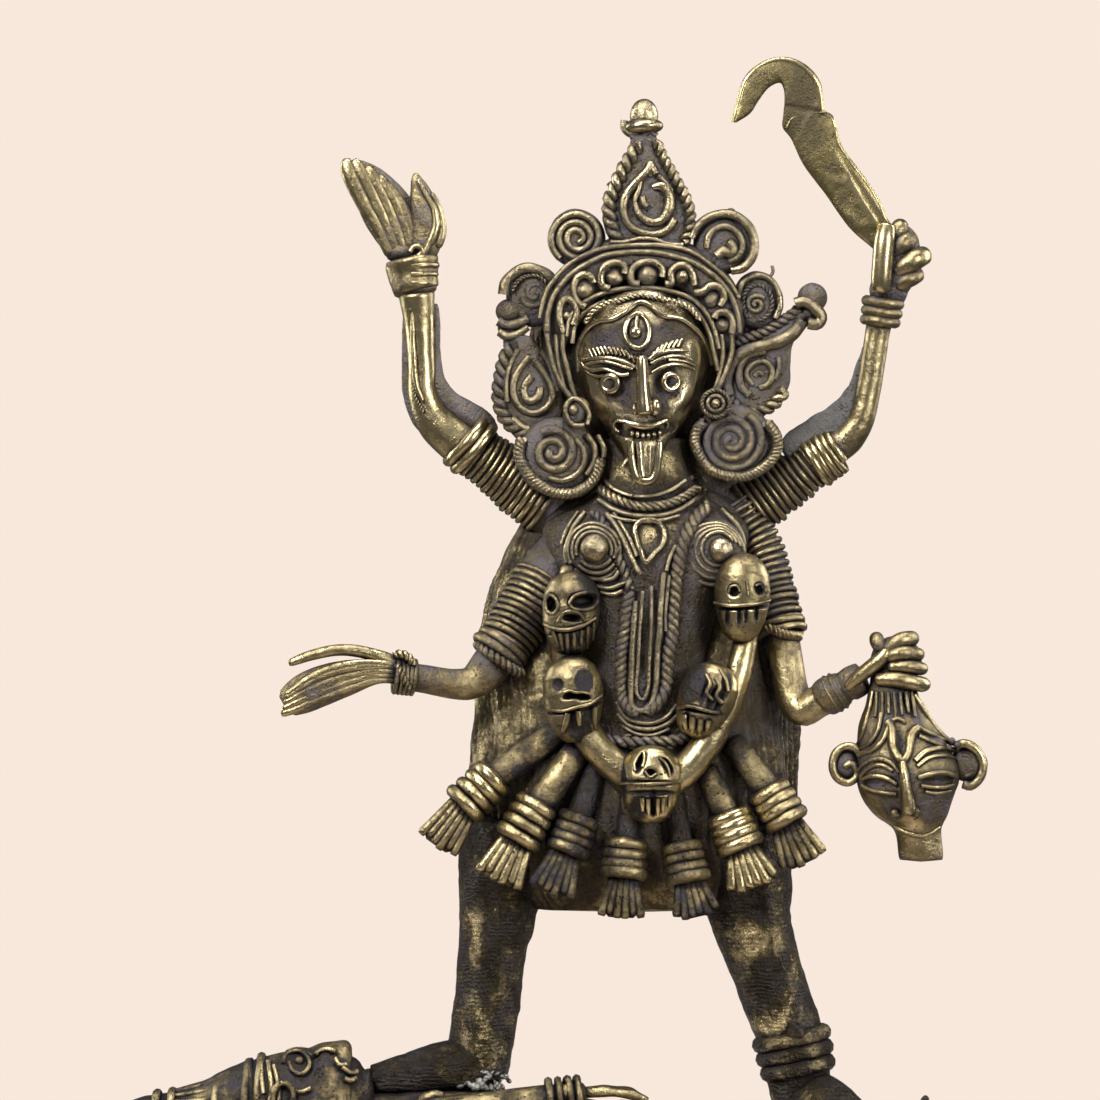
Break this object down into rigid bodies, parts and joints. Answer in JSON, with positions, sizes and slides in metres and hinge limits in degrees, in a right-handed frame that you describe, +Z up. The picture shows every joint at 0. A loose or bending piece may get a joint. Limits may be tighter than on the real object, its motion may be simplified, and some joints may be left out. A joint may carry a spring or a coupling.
{
  "type": "kali figure",
  "caption": "Cast brass figure of four-armed Kali with crown, sword, cut head and skull garland, standing on reclining Shiva and a low plate.",
  "frame": {"origin": "middle of the plate's underside, which the figure stands on", "axes": "+Z up, -Y the way the figure faces, +X to the viewer's right"},
  "size_m": [0.2288, 0.0838, 0.2917],
  "materials": {
    "cast_brass": "lost-wax brass, rubbed bright on raised wires, dark brown patina in the hollows",
    "cast_brass_base": "lost-wax brass, duller and darker, dark patina in the hollows"
  },
  "bodies": {
    "root": {"kali_figure": "cast_brass", "shiva_on_plate": "cast_brass_base"}
  },
  "joints": []
}
